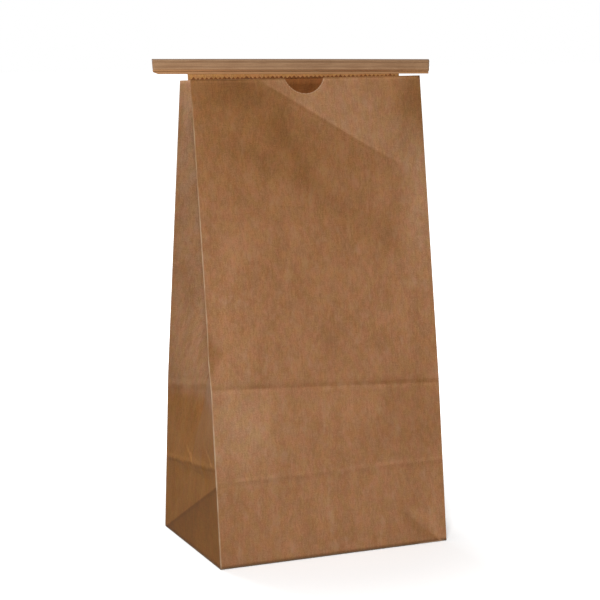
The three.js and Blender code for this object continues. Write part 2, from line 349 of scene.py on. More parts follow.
# painted shade as a streak below the bend, fainter towards its end
shadeStreak = {
    "line": [(-20.5, 222.0), (-16.0, 213.0), (-10.0, 205.0), (-3.5, 195.0), (7.0, 179.0), (40.0, 161.0)],
    "reach": 6.0, "change": -0.18, "endChange": -0.06, "fadeStart": -10.0, "fadeReach": 18.0,
}
# painted sheen: paler, greyer patches of the front: middle x, middle height, reach across, reach up, amount
sheenPatches = [
    (-50.0, 70.0, 22.0, 26.0, 0.4),
    (60.0, 176.0, 11.0, 36.0, 0.45),
]
# painted warm shade: a warmer, deeper colour in the upper part below the bend
warmShade = {"amount": 0.15, "start": 170.0, "reach": 50.0, "fade": 20.0}
# wrinkle across the gusset, a branch of it, the packing crease and the soft waves of the paper
wrinkle = {
    "front": 50.0, "back": 40.2, "rise": 0.9, "below": 5.0, "above": 4.0,
    "sway": 2.0, "swayReach": 12.0, "seed": 4.0,
    "branch": 0.5, "branchAt": 22.0, "branchSlope": 0.4,
    "branchReach": 4.0, "branchBelow": 16.0, "branchAbove": 12.0,
    "packFront": 92.0, "packBack": 81.0,
    "wave": 0.6, "waveReach": 17.0, "waveSeed": 9.0, "waveStart": 20.0, "waveFade": 25.0,
    "bulge": 0.5, "bulgeReach": 22.0, "bulgeSeed": 7.3, "bulgeFade": 30.0,
}
# painted shade and light of the gussets: the open part darker, and the pressed part from the packing crease
# up paler, palest at the top
gussetShade = {
    "open": 0.855, "pressed": 1.04, "pressedTop": 0.05, "topStart": 150.0, "topReach": 60.0,
    "start": 76.0, "fade": 8.0,
}
# painted highlights by the front fold and over the wrinkle: place from the front, height, reach both ways,
# change
foldHighlight = (4.0, 72.0, 14.0, 9.0, 0.1)
wrinkleHighlight = (67.0, 9.0, 13.0, 8.0, 0.08)
# painted light in the pressed part's fold, where shade falls, from the front fold back to a slanting line
litPocket = {
    "low": 130.0, "place": 66.0, "climb": 0.115, "reach": 6.0, "change": 0.22, "start": 100.0, "fade": 30.0,
}
# painted sheen on the pressed part of the gussets, painted warm shade on the open part, warmest at the foot
gussetSheenAndShade = {
    "foot": -1.0, "open": -0.7, "openStart": 40.0, "openReach": 25.0,
    "pressed": 0.45, "start": 73.0, "fade": 12.0, "top": 0.3, "topStart": 150.0, "topReach": 80.0,
}


def lineGap(x, h, line):
    best = 1e9
    for (ax, ah), (bx, bh) in zip(line, line[1:]):
        dx = bx - ax
        dh = bh - ah
        t = clip(((x - ax) * dx + (h - ah) * dh) / (dx * dx + dh * dh))
        best = min(best, math.hypot(x - ax - t * dx, h - ah - t * dh))
    return best


# share of a front point in the band above the bend line
def aboveBend(away, end):
    reach = bendLightAndShade["reach"]
    return ease((away + reach) / (2 * reach)) * ease((end - away) / bendLightAndShade["fade"])


# painted light and shade of the front: the bend, the corner's crease, the spots and the streak
def frontShading(x, h):
    tone = 1.0
    away, along = acrossBend(x, h)
    if bendLightAndShade["low"] < along < bendLightAndShade["high"]:
        tone += bendLightAndShade["pale"] * aboveBend(away, bendLightAndShade["paleEnd"])
        gap = away - bendLightAndShade["shadeAt"]
        tone -= bendLightAndShade["shade"] * tent(gap, bendLightAndShade["shadeBelow"], bendLightAndShade["shadeAbove"])
    if x > facetLightAndShade["left"] and h < facetLightAndShade["high"]:
        edge = acrossFacet(x, h)
        fade = facetLightAndShade["fade"]
        pale = ease((facetLightAndShade["paleTop"] - h) / fade) * ease((facetLightAndShade["paleReach"] - edge) / fade)
        tone += facetLightAndShade["pale"] * ease(edge / facetLightAndShade["paleEdge"]) * pale
        shade = tent(edge - facetLightAndShade["shadeAt"], facetLightAndShade["shadeBelow"], facetLightAndShade["shadeAbove"])
        tone -= facetLightAndShade["shade"] * shade * ease((x - facetLightAndShade["shadeLeft"]) / facetLightAndShade["shadeFade"])
    for row in frontLightAndShade:
        tone += spot(x, h, row)
    change = ease((x - shadeStreak["fadeStart"]) / shadeStreak["fadeReach"])
    change = lerp(shadeStreak["change"], shadeStreak["endChange"], change)
    return tone + change * math.exp(-(lineGap(x, h, shadeStreak["line"]) / shadeStreak["reach"]) ** 2)


def gussetShading(w, h):
    across = w / bag["depth"]
    tone = gussetShade["open"] + spot(w, h, foldHighlight)
    tone += spot(w, h - lerp(wrinkle["front"], wrinkle["back"], across), wrinkleHighlight)
    upper = gussetShade["pressed"]
    upper += gussetShade["pressedTop"] * ease((h - gussetShade["topStart"]) / gussetShade["topReach"])
    inward = litPocket["place"] + litPocket["climb"] * (h - litPocket["low"]) - w
    pale = ease(1 + inward / litPocket["reach"]) * ease((h - litPocket["start"]) / litPocket["fade"])
    upper += litPocket["change"] * pale
    return lerp(tone, upper, ease((h - gussetShade["start"]) / gussetShade["fade"]))


def onFront(s):
    return frontStart - foldSlack <= s <= rightGussetStart + foldSlack


def sheetShading(s, h):
    if onFront(s):
        return frontShading(s - frontStart - half, h)
    if leftGussetStart < s < backRightStart:
        return gussetShading(frontStart - s if s < frontStart else s - rightGussetStart, h)
    return 1.0


# painted sheen where it is above nought, painted warm shade where it is below
def sheetSheenAndShade(s, h):
    if onFront(s):
        x = s - frontStart - half
        away, along = acrossBend(x, h)
        sheenAndShade = -warmShade["amount"] * ease((h - warmShade["start"]) / warmShade["reach"]) * ease(-away / warmShade["fade"])
        if bendLightAndShade["low"] < along < bendLightAndShade["high"]:
            sheenAndShade += bendLightAndShade["sheen"] * aboveBend(away, bendLightAndShade["sheenEnd"])
        for row in sheenPatches:
            sheenAndShade += spot(x, h, row)
        return sheenAndShade
    if leftGussetStart < s < backRightStart:
        up = ease((h - gussetSheenAndShade["openStart"]) / gussetSheenAndShade["openReach"])
        low = lerp(gussetSheenAndShade["foot"], gussetSheenAndShade["open"], up)
        pressed = ease((h - gussetSheenAndShade["start"]) / gussetSheenAndShade["fade"])
        top = gussetSheenAndShade["top"] * ease((h - gussetSheenAndShade["topStart"]) / gussetSheenAndShade["topReach"])
        return lerp(low, gussetSheenAndShade["pressed"], pressed) + top
    return 0.0


def placeFront(x, h):
    share = h / bag["height"]
    p = frontEdge(-1, share).lerp(frontEdge(1, share), (x + half) / bag["width"])
    p.y -= frontPush(x, h)
    return p


def gussetPush(side, w, h):
    across = w / bag["depth"]
    line = lerp(wrinkle["front"], wrinkle["back"], across)
    gap = h - line - wrinkle["sway"] * wave(w, 0.0, wrinkle["swayReach"], wrinkle["seed"] + side)
    push = wrinkle["rise"] * tent(gap, wrinkle["below"], wrinkle["above"])
    reach = wrinkle["branchReach"]
    branch = tent(w - wrinkle["branchAt"] - wrinkle["branchSlope"] * gap, reach, reach)
    push += wrinkle["branch"] * branch * tent(gap, wrinkle["branchBelow"], wrinkle["branchAbove"])
    ripple = wave(w, h, wrinkle["waveReach"], wrinkle["waveSeed"] + side)
    push += wrinkle["wave"] * ripple * ease((h - wrinkle["waveStart"]) / wrinkle["waveFade"])
    return push * math.sin(math.pi * across) ** 0.5


def blend3(a, b, c, wa, wb, wc):
    return a * wa + b * wb + c * wc


# the gusset's flat folds: the lower ones turn its foot under along a diagonal
def gussetBase(side, w, h):
    share = h / bag["height"]
    depth = bag["depth"]
    if h >= bottomCrease:
        front = frontEdge(side, share)
        back = backEdge(side, share)
        fold = gussetFold(side, front, back)
        t = 2 * w / depth
        p = front.lerp(fold, t) if t < 1 else fold.lerp(back, t - 1)
        swell = math.sin(math.pi * min(t, 2 - t)) * ease((h - bottomCrease) / wrinkle["bulgeFade"])
        p.y += wrinkle["bulge"] * wave(w, h, wrinkle["bulgeReach"], wrinkle["bulgeSeed"] + side) * swell
        return p
    share = bottomCrease / bag["height"]
    frontFoot = frontEdge(side, 0)
    backFoot = backEdge(side, 0)
    frontHigh = frontEdge(side, share)
    backHigh = backEdge(side, share)
    fold = gussetFold(side, frontHigh, backHigh)
    up = h / bottomCrease
    if w / depth + up <= 1:
        return blend3(frontFoot, backFoot, frontHigh, 1 - w / depth - up, w / depth, up)
    if w <= depth - h:
        inner = (w / depth + up - 1) * 2
        return blend3(backFoot, frontHigh, fold, 1 - up, up - inner, inner)
    outer = (w - (depth - h)) / (depth / 2)
    return blend3(backFoot, fold, backHigh, 1 - up, up - outer, outer)


def placeGusset(side, w, h):
    p = gussetBase(side, w, h)
    p.x += side * gussetPush(side, w, h)
    return p


backWave = {"height": 0.8, "reach": 38.0, "seed": 11.7, "fade": 25.0}
# the lip above the back panel, which carries the tie; its paler tone is painted light over the tie's shadow,
# its colour warmer
lip = {
    "inset": 4.233, "strip": 3.6, "leanLeft": 12.0, "leanRight": 2.0, "top": 9.4, "tieSkew": 0.8,
    "swell": 0.28, "swellAt": 1.9, "swellAbove": 0.8, "columns": 28, "rows": 12, "tone": 1.3, "sheenAndShade": -0.7,
}


def skewAt(x):
    return -x * math.tan(math.radians(lip["tieSkew"]))


def onLip(x, up, out):
    foot = backEdge(1, 1)
    lean = math.radians(lerp(lip["leanLeft"], lip["leanRight"], (x + half) / bag["width"]))
    y = foot.y + up * math.sin(lean) - out * math.cos(lean)
    z = foot.z + up * math.cos(lean) + out * math.sin(lean)
    return Vector((x, y, z))


def placeBack(x, h):
    if h > bag["height"]:
        up = h - bag["height"]
        out = tent(up - skewAt(x) - lip["swellAt"], lip["swellAt"], lip["swellAbove"])
        return onLip(x, up, lip["swell"] * out)
    share = h / bag["height"]
    u = (x + half) / bag["width"]
    p = backEdge(-1, share).lerp(backEdge(1, share), u)
    inside = 1 - (2 * u - 1) ** 2
    inside *= ease(h / backWave["fade"]) * ease((bag["height"] - h) / backWave["fade"])
    p.y += backWave["height"] * wave(x, h, backWave["reach"], backWave["seed"]) * inside
    return p


def placeSheet(s, h):
    if s <= leftGussetStart:
        return placeBack(-s, h)
    if s <= frontStart:
        return placeGusset(-1, frontStart - s, h)
    if s <= rightGussetStart:
        return placeFront(s - frontStart - half, h)
    if s <= backRightStart:
        return placeGusset(1, s - rightGussetStart, h)
    return placeBack(sheetEnd - s, h)


# one flat panel of the sheet, in paper millimetres
def addPanel(bm, start, end, low, high, across, rows):
    place = Matrix.Translation(((start + end) / 2, (low + high) / 2, 0))
    scale = Matrix.Diagonal(((end - start) / 2, (high - low) / 2, 1, 1))
    bmesh.ops.create_grid(bm, x_segments=across, y_segments=rows, size=1.0, matrix=place @ scale)


# a straight crease scored into the flat sheet, only where it runs
def scoreLine(bm, a, b, margin=1.0, crisp=True):
    low = (min(a[0], b[0]) - margin, min(a[1], b[1]) - margin)
    high = (max(a[0], b[0]) + margin, max(a[1], b[1]) + margin)
    geom = set()
    for face in bm.faces:
        c = face.calc_center_median()
        if low[0] <= c.x <= high[0] and low[1] <= c.y <= high[1]:
            geom.add(face)
            geom.update(face.edges)
            geom.update(face.verts)
    normal = (b[1] - a[1], a[0] - b[0], 0)
    start = (a[0], a[1], 0)
    near = weld["score"]
    cut = bmesh.ops.bisect_plane(bm, geom=list(geom), dist=near, plane_co=start, plane_no=normal)
    for item in cut["geom_cut"]:
        if crisp and isinstance(item, bmesh.types.BMEdge):
            item.smooth = False


def scorePath(bm, path, margin=0.5, crisp=True):
    for a, b in zip(path, path[1:]):
        scoreLine(bm, a, b, margin, crisp)


def finishPiece(bm, name, material, node, thickness):
    mesh = bpy.data.meshes.new(name)
    bm.to_mesh(mesh)
    bm.free()
    for polygon in mesh.polygons:
        polygon.use_smooth = True
    piece = bpy.data.objects.new(name, mesh)
    scene.collection.objects.link(piece)
    mesh.materials.append(material)
    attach(piece, "root")
    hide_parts(node)
    wall = piece.modifiers.new("paper", "SOLIDIFY")
    wall.thickness = thickness * mm
    wall.offset = -1


def flatUv(bm):
    layer = bm.loops.layers.uv.new("paper")
    for face in bm.faces:
        for loop in face.loops:
            loop[layer].uv = (loop.vert.co.x * mm, loop.vert.co.y * mm)
    return layer


flap = {"edge": 28.0, "inset": 1.2, "corner": 18.0, "thick": 0.02, "shift": 0.8}


def bottomFlap():
    bm = bmesh.new()
    x = half - flap["inset"]
    back = bag["depth"] / 2 - flap["inset"]
    cut = flap["corner"]
    outline = [(-x, back), (x, back), (x, cut - flap["edge"]), (x - cut, -flap["edge"])]
    outline += [(cut - x, -flap["edge"]), (-x, cut - flap["edge"])]
    corners = [bm.verts.new((px * mm, py * mm, flap["thick"] * mm)) for px, py in outline]
    bmesh.ops.contextual_create(bm, geom=corners)
    for face in bm.faces:
        if face.normal.z > 0:
            face.normal_flip()
    return bm


seam = {"width": 14.0, "low": 0.5, "short": 0.3, "stand": 0.16, "columns": 6, "rows": 58, "shift": 1.0}


def backSeam():
    bm = bmesh.new()
    wide = seam["width"] / 2
    top = bag["height"] + lip["top"] - seam["short"]
    addPanel(bm, -wide, wide, seam["low"], top, seam["columns"], seam["rows"])
    for vert in bm.verts:
        p = placeBack(-vert.co.x, vert.co.y)
        p.y += seam["stand"]
        vert.co = p * mm
    return bm


# a dark sheet inside the back panel: painted shade of the bag's inside seen through the notch, lighter
# towards its bottom
shadeSheet = {
    "low": 205.0, "short": 0.2, "inset": 24.0, "stand": 0.71, "columns": 24, "rows": 12,
    "tone": 0.47, "fall": 24.0, "sheenAndShade": -2.0, "shift": 1.4,
}


def backShadeSheet():
    bm = bmesh.new()
    wide = half - shadeSheet["inset"]
    top = bag["height"] - shadeSheet["short"]
    addPanel(bm, -wide, wide, shadeSheet["low"], top, shadeSheet["columns"], shadeSheet["rows"])
    for vert in bm.verts:
        p = placeBack(vert.co.x, vert.co.y)
        p.y -= shadeSheet["stand"]
        vert.co = p * mm
    return bm


# small teeth left by the cutter along the lip's fold; their low tone and the shaded inside's colour are
# painted shade
teeth = {
    "pitch": 2.4, "width": 4.4, "riseLeft": 1.5, "riseRight": 1.4, "root": 0.8, "stand": 0.2,
    "uneven": 0.8, "unevenReach": 3.7, "seed": 21.0, "slopeFrom": 0.98,
    "tone": 0.42, "sheenAndShade": -2.0, "shift": 1.2,
}


def lipTeeth():
    bm = bmesh.new()
    span = 2 * (half - lip["inset"]) - teeth["width"]
    count = int(span / teeth["pitch"])
    foot = backEdge(1, 1)
    along = (foot - backEdge(1, teeth["slopeFrom"])).normalized()
    turn = Matrix(((1, 0, 0), (0, along.y, -along.z), (0, along.z, along.y))).to_4x4()
    for i in range(count + 1):
        x = (i - count / 2) * teeth["pitch"]
        tall = teeth["root"] + lerp(teeth["riseLeft"], teeth["riseRight"], i / count)
        sway = teeth["uneven"] * wave(x, 0.0, teeth["unevenReach"], teeth["seed"])
        middle = foot + along * (tall / 3 - teeth["root"] + sway)
        size = Matrix.Diagonal((teeth["width"] / 3 ** 0.5, tall / 1.5, 1, 1))
        place = Vector((x, middle.y - bag["sheet"] - teeth["stand"], middle.z)) * mm
        matrix = Matrix.Translation(place) @ turn @ Matrix.Scale(mm, 4) @ size
        bmesh.ops.create_circle(bm, cap_ends=True, segments=3, radius=1.0, matrix=matrix)
    for face in bm.faces:
        face.normal_update()
        if face.normal.y > 0:
            face.normal_flip()
    return bm


# creases: across the front, at its lower right corner, along the bend, and at the folded gusset feet
def scoreCreases(bm):
    for share, crisp in ((0.0, True), (1.0, False)):
        lift = share * creases["packAbove"]
        left = (frontStart, creases["packLeft"] + lift)
        scoreLine(bm, left, (rightGussetStart, creases["packRight"] + lift), crisp=crisp)
        low = creases["footLine"] - share * creases["footBelow"]
        scoreLine(bm, (frontStart, low), (rightGussetStart, low), crisp=crisp)
    corner = []
    for run in (-facet["tail"], half - facet["x"]):
        corner.append((frontStart + half + facet["x"] + run, facet["h"] - run * facet["fall"]))
    scorePath(bm, corner)
    path = []
    for i in range(bend["cuts"] + 1):
        share = i / bend["cuts"]
        sag = bend["sag"] * bendShape(share)
        x = lerp(bend["top"], half, share) + sag * bend["fall"] / bendLength
        h = lerp(bag["height"], bag["height"] - bend["fall"], share) + sag * bendRun / bendLength
        path.append((frontStart + half + x, h))
    scorePath(bm, path)
    middle = bag["depth"] / 2
    for back, front, side in ((leftGussetStart, frontStart, 1), (backRightStart, rightGussetStart, -1)):
        scorePath(bm, [(back, 0), (front, bottomCrease)])
        scorePath(bm, [(back, 0), (back + side * middle, bottomCrease)])
        scoreLine(bm, (min(back, front), bottomCrease), (max(back, front), bottomCrease))


# thumb notch, cut as a run of short straight cuts
def cutNotch(bm):
    cx = frontStart + half + bag["notchOffset"]
    reach = math.asin(bag["notchWidth"] / 2 / notchRadius)
    rim = []
    for i in range(bag["notchCuts"] + 1):
        a = lerp(-reach, reach, i / bag["notchCuts"])
        rim.append((cx + notchRadius * math.sin(a), notchHeight - notchRadius * math.cos(a)))
    scorePath(bm, rim, margin=1.2, crisp=False)
    gone = []
    for face in bm.faces:
        c = face.calc_center_median()
        if frontStart < c.x < rightGussetStart and math.hypot(c.x - cx, c.y - notchHeight) < notchRadius:
            gone.append(face)
    bmesh.ops.delete(bm, geom=gone, context="FACES")
    bmesh.ops.remove_doubles(bm, verts=bm.verts, dist=weld["cuts"])


def makeBag(material):
    bm = bmesh.new()
    high = bag["height"]
    rows = bag["rows"]
    across = bag["columns"]
    addPanel(bm, 0, leftGussetStart, 0, high, across // 2, rows)
    addPanel(bm, leftGussetStart, frontStart, 0, high, bag["gussetColumns"], rows)
    addPanel(bm, frontStart, rightGussetStart, 0, high, across, rows)
    addPanel(bm, rightGussetStart, backRightStart, 0, high, bag["gussetColumns"], rows)
    addPanel(bm, backRightStart, sheetEnd, 0, high, across // 2, rows)
    lipHalf = half - lip["inset"]
    lipHigh = high + lip["top"]
    addPanel(bm, 0, lipHalf, high, lipHigh, lip["columns"], lip["rows"])
    addPanel(bm, sheetEnd - lipHalf, sheetEnd, high, lipHigh, lip["columns"], lip["rows"])
    bmesh.ops.remove_doubles(bm, verts=bm.verts, dist=weld["panels"])
    scoreCreases(bm)
    cutNotch(bm)

    layer = flatUv(bm)
    middle = bag["depth"] / 2
    folds = (leftGussetStart, frontStart, rightGussetStart, backRightStart)
    folds += (leftGussetStart + middle, backRightStart - middle)
    near = weld["panels"]
    for edge in bm.edges:
        a, b = (vert.co for vert in edge.verts)
        if abs(a.x - b.x) < near and any(abs(a.x - fold) < near for fold in folds):
            edge.smooth = False
    # tone: painted light and shade over the sheet; the second layer: painted sheen above nought, painted
    # warm shade below, the shaded inside's colour at minus one and lower
    shade = bm.verts.layers.float.new("tone")
    sheen = bm.verts.layers.float.new("sheenAndShade")
    for vert in bm.verts:
        s, h = vert.co.x, vert.co.y
        vert[shade] = sheetShading(s, h)
        vert[sheen] = sheetSheenAndShade(s, h)
        # the lip: a paler tone, painted light over the tie's shadow, and a warmer colour
        if h > high:
            vert[shade] = lip["tone"]
            vert[sheen] = lip["sheenAndShade"]
            share = (h - high) / lip["top"]
            h += share * skewAt(placeSheet(s, high).x)
        vert.co = placeSheet(s, h) * mm

    # pieces pasted on, each shifted along the sheet to a grain of its own
    def takeIn(other, shift, tone=1.0, sheenAndShade=0.0, fall=0.0):
        spare = bpy.data.meshes.new("spare")
        other.to_mesh(spare)
        other.free()
        known = set(bm.faces)
        bm.from_mesh(spare)
        bpy.data.meshes.remove(spare)
        for face in bm.faces:
            if face not in known:
                for loop in face.loops:
                    co = loop.vert.co
                    # a piece's tone below one is painted shade, lighter lower down by its fall
                    loop.vert[shade] = tone + fall * (high * mm - co.z)
                    loop.vert[sheen] = sheenAndShade
                    loop[layer].uv = (co.x + shift, co.y + co.z)

    floor = bmesh.new()
    size = Matrix.Diagonal((half * mm, middle * mm, 1, 1))
    place = Matrix.Translation((0, 0, bag["foot"] * mm)) @ size
    columns = bag["gussetColumns"]
    bmesh.ops.create_grid(floor, x_segments=across, y_segments=columns, size=1.0, matrix=place)
    bmesh.ops.reverse_faces(floor, faces=floor.faces)
    takeIn(floor, bag["floorShift"])
    # the floor's rim is shared with the panels
    bmesh.ops.remove_doubles(bm, verts=bm.verts, dist=weld["floor"] * mm)
    takeIn(bottomFlap(), flap["shift"])
    takeIn(backSeam(), seam["shift"])
    # the teeth and the dark sheet take painted shade: a low tone and the shaded inside's colour
    takeIn(lipTeeth(), teeth["shift"], teeth["tone"], teeth["sheenAndShade"])
    takeIn(backShadeSheet(), shadeSheet["shift"], shadeSheet["tone"], shadeSheet["sheenAndShade"], shadeSheet["fall"])
    print("bag sheet:", len(bm.faces), "faces")
    finishPiece(bm, "kraft_bag", material, "paper_bag", bag["sheet"])


# colours of the paper, each as its pale and its deep flecks, and of what lies over it; sheen, ember and
# inner are painted light colours
kraft = {
    "pale": (0.385, 0.189, 0.0905, 1), "deep": (0.262, 0.1205, 0.05, 1),
    # sheen: paler, greyer colour of painted sheen
    "sheenPale": (0.376, 0.225, 0.128, 1), "sheenDeep": (0.26, 0.15, 0.082, 1),
    # ember: warmer colour of painted warm shade, also the lip's warmer colour
    "emberPale": (0.385, 0.175, 0.046, 1), "emberDeep": (0.255, 0.105, 0.024, 1),
    # inner: painted shade colour of the bag's shaded inside, for the teeth and the dark sheet
    "innerPale": (0.407, 0.158, 0.053, 1), "innerDeep": (0.27, 0.095, 0.0275, 1),
    "wornAndLit": (0.52, 0.36, 0.235, 1), "dusty": (0.40, 0.22, 0.125, 1), "dustyShare": 0.45,
    "rust": (1.05, 0.965, 0.97, 1), "straw": (0.995, 1.015, 0.89, 1),
    "green": 1.22, "blueDark": 2.0, "bluePale": 1.5,
    "rough": 0.8, "gloss": 0.25, "bump": 0.25, "bumpHeight": 0.0002,
}
# noise layers of the paper: stretch, turn, scale, detail, roughness, distortion
paperLayers = {
    "blotch": ((1.0, 0.4, 1.0), 0.0, 100.0, 5.0, 0.65, 0.0),
    "grain": ((1.0, 1.0, 1.0), 0.0, 1700.0, 2.0, 0.65, 0.0),
    "fibre": ((1.0, 0.26, 1.0), 0.0, 1000.0, 3.0, 0.7, 0.6),
    "cross": ((0.2, 1.0, 1.0), 0.4, 1300.0, 2.0, 0.6, 0.6),
    "dusty": ((1.0, 0.5, 1.0), 0.0, 170.0, 4.0, 0.6, 0.0),
    "rust": ((1.0, 0.6, 1.0), 0.0, 260.0, 3.0, 0.5, 0.0),
    "straw": ((1.0, 0.6, 1.0), 0.2, 230.0, 3.0, 0.5, 0.0),
    "broken": ((1.0, 0.1, 1.0), 0.0, 70.0, 2.0, 0.5, 0.0),
}
paperMix = {"blotch": 0.27, "grain": 0.33, "fibre": 0.3, "cross": 0.1}
bumpMix = {"grain": 0.5, "fibre": 0.5, "cross": 0.4}
# smooth steps of values over the paper: from, to, and what they become
paperSteps = {
    "fleckSpread": (0.08, 0.11, 0.12, 0.1),
    "dusty": (0.52, 0.72),
    "sheen": (0.3, 0.6, 0.6, 1.0),
    "tint": (0.42, 0.6),
    "wornLitLine": (0.0005, 0.0011),
    "wornLitTop": (0.225, 0.24, 1.0, 0.25),
    "wornLitPatch": (0.36, 0.62, 0.35, 1.0),
    "rim": (0.0001, 0.0007, 0.5, 0.0),
    "rimGrain": (0.35, 0.6),
    "footEdge": (0.0002, 0.001, 0.55, 0.0),
    "topEdge": (0.0003, 0.0011, 0.3, 0.0),
    "broken": (0.38, 0.62, 0.35, 1.0),
    "bendStart": (0.0, 0.1),
    "bendEnd": (0.66, 0.95, 1.0, 0.0),
    "panel": (0.0, 0.0005),
    "gussetFront": (0.0, 0.0003),
    "gussetBack": ((bag["depth"] - 0.3) * mm, bag["depth"] * mm, 1.0, 0.0),
    "pinch": (0.0, 0.45, 0.0, 0.2),
    "foot": (-0.0009, 0.0001, 1.0, 0.0),
}
# the pale fold lines are worn paper and a painted highlight of the rounded fold
ragged = 0.0006  # how far the grain frays the worn folds
# how pale each fold line is, by its place along the sheet: worn paper and painted highlight of the rounded
# fold
wornAndLitFolds = [
    (leftGussetStart, 0.5),
    (frontStart, 0.9),
    (rightGussetStart, 0.2),
    (backRightStart, 0.5),
]
# painted shade and painted highlight beside each crease: place off the crease, reach, strength
marks = {
    "packDark": (0.0009, 0.0018, 0.15), "packLight": (-0.0012, 0.0018, 0.1),
    "footDark": (-0.0011, 0.0018, 0.07), "footLight": (0.001, 0.0016, 0.08),
    "bendDark": (-0.0008, 0.0016, 0.1), "bendLight": (0.0008, 0.0014, 0.08),
    "diagonalDark": (-0.0012, 0.0016, 0.08),
    "wrinkleDark": (-0.0006, 0.0016, 0.2), "wrinkleLight": (0.0012, 0.0022, 0.12),
    "ledgeDark": (-0.0016, 0.0026, 0.12), "ledgeLight": (0.0014, 0.0024, 0.1),
    "strokeAcross": (0.0, 0.0026, 0.34), "strokeUp": (0.004, 0.007, 1.0),
}
# painted highlights as strokes above the wrinkle: places from the front fold, lean, middle height over it
highlightStrokes = {"places": (0.046, 0.011), "lean": 1.4, "high": 0.0045}
sway = {"wrinkle": 0.004, "ledge": 0.002}
markCore = 0.2  # share of a mark's reach at full strength
# painted shade in the pinch's dent and on the gussets' folded foot
pinchShade = {"h": 0.108, "up": 0.0145, "across": 0.0105}
footShade = {"shade": 0.35, "fade": 11.4, "least": 0.1}


def mark(gap, name):
    middle, reach, strength = marks[name]
    return (1 - (gap - middle).size().span(reach * markCore, reach)) * strength


# painted shade and painted highlight beside the front's creases, darker along the cut top edge, and painted
# shade in the pinch
def frontLines(x, high, broken):
    slope = (creases["packRight"] - creases["packLeft"]) / bag["width"]
    pack = high - packMiddle * mm - x * slope
    foot = high - creases["footLine"] * mm
    dx = x - bend["top"] * mm
    dh = high - bag["height"] * mm
    share = (dx * bendRun - dh * bend["fall"]) / (bendLength * bendLength * mm)
    share = share.most(0.0).least(1.0)
    away = (dx * bend["fall"] + dh * bendRun) / bendLength - bendShape(share) * (bend["sag"] * mm)
    ends = share.span(*paperSteps["bendStart"]) * share.span(*paperSteps["bendEnd"])
    dark = (mark(pack, "packDark") + mark(foot, "footDark")) * broken + mark(away, "bendDark") * ends
    dark = dark + (bag["height"] * mm - high).span(*paperSteps["topEdge"])
    pinched = 1 - (high - pinchShade["h"]).size() / pinchShade["up"] - (x + half * mm) / pinchShade["across"]
    dark = dark + pinched.span(*paperSteps["pinch"])
    light = (mark(pack, "packLight") + mark(foot, "footLight")) * broken + mark(away, "bendLight") * ends
    return dark, light


# painted shade and highlight of the gussets' own folds: painted shade on the foot under its diagonal, and at
# the wrinkle, its strokes and the packing crease
def gussetLines(back, high, broken, dusty):
    uneven = dusty - 0.5
    diagonal = (high - bottomCrease * mm + back * diagonalSlope) * diagonalScale
    slope = (wrinkle["back"] - wrinkle["front"]) / bag["depth"]
    ruck = high - wrinkle["front"] * mm - back * slope + uneven * sway["wrinkle"]
    slope = (wrinkle["packBack"] - wrinkle["packFront"]) / bag["depth"]
    ledge = high - wrinkle["packFront"] * mm - back * slope + uneven * sway["ledge"]
    foot = (diagonal * footShade["fade"] + footShade["shade"]).most(footShade["least"])
    dark = diagonal.span(*paperSteps["foot"]) * foot + mark(diagonal, "diagonalDark")
    dark = dark + mark(ruck, "wrinkleDark") + mark(ledge, "ledgeDark") * broken
    light = mark(ruck, "wrinkleLight") + mark(ledge, "ledgeLight")
    for place in highlightStrokes["places"]:
        slant = back - place - (ruck - highlightStrokes["high"]) * highlightStrokes["lean"]
        light = light + mark(slant, "strokeAcross") * mark(ruck, "strokeUp")
    return dark, light


